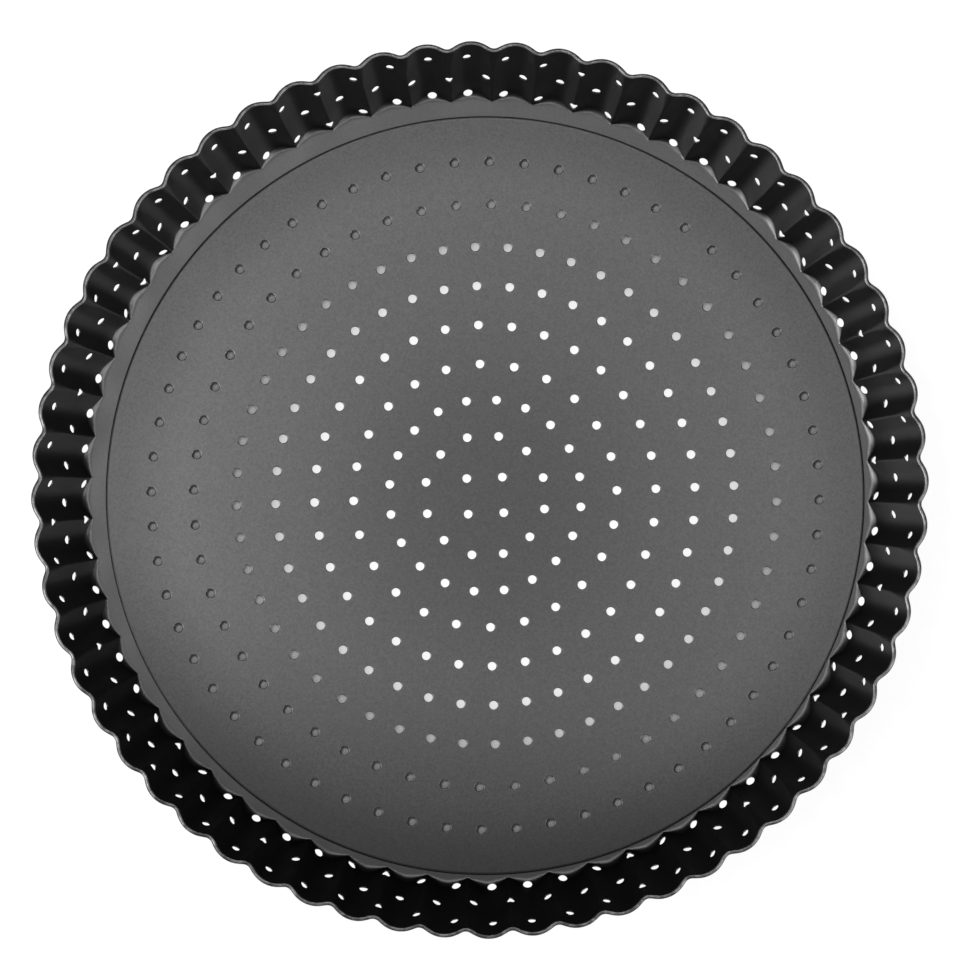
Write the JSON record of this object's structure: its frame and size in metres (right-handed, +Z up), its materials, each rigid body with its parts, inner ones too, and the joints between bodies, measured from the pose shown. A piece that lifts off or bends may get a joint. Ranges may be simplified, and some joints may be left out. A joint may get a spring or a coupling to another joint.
{
  "type": "perforated tart pan",
  "caption": "Round shallow fluted pan with a rolled rim and perforated walls, and a flat perforated base that lies loose on a ledge and lifts out.",
  "frame": {"origin": "on the ring's axis, on the surface that the pan stands on", "axes": "+Z up along the ring's axis, out of the open side of the pan; +X to the right and +Y away in the picture, which looks straight down"},
  "size_m": [0.25, 0.25, 0.025],
  "materials": {
    "ring_coating": "satin",
    "base_coating": "satin"
  },
  "bodies": {
    "ring": {"fluted_ring": "ring_coating"},
    "base": {"loose_base": "base_coating"}
  },
  "joints": [
    {"name": "base_lift", "type": "slide", "parent": "ring", "child": "base", "axis": [0, 0, 1], "range_m": [0, 0.045]}
  ]
}
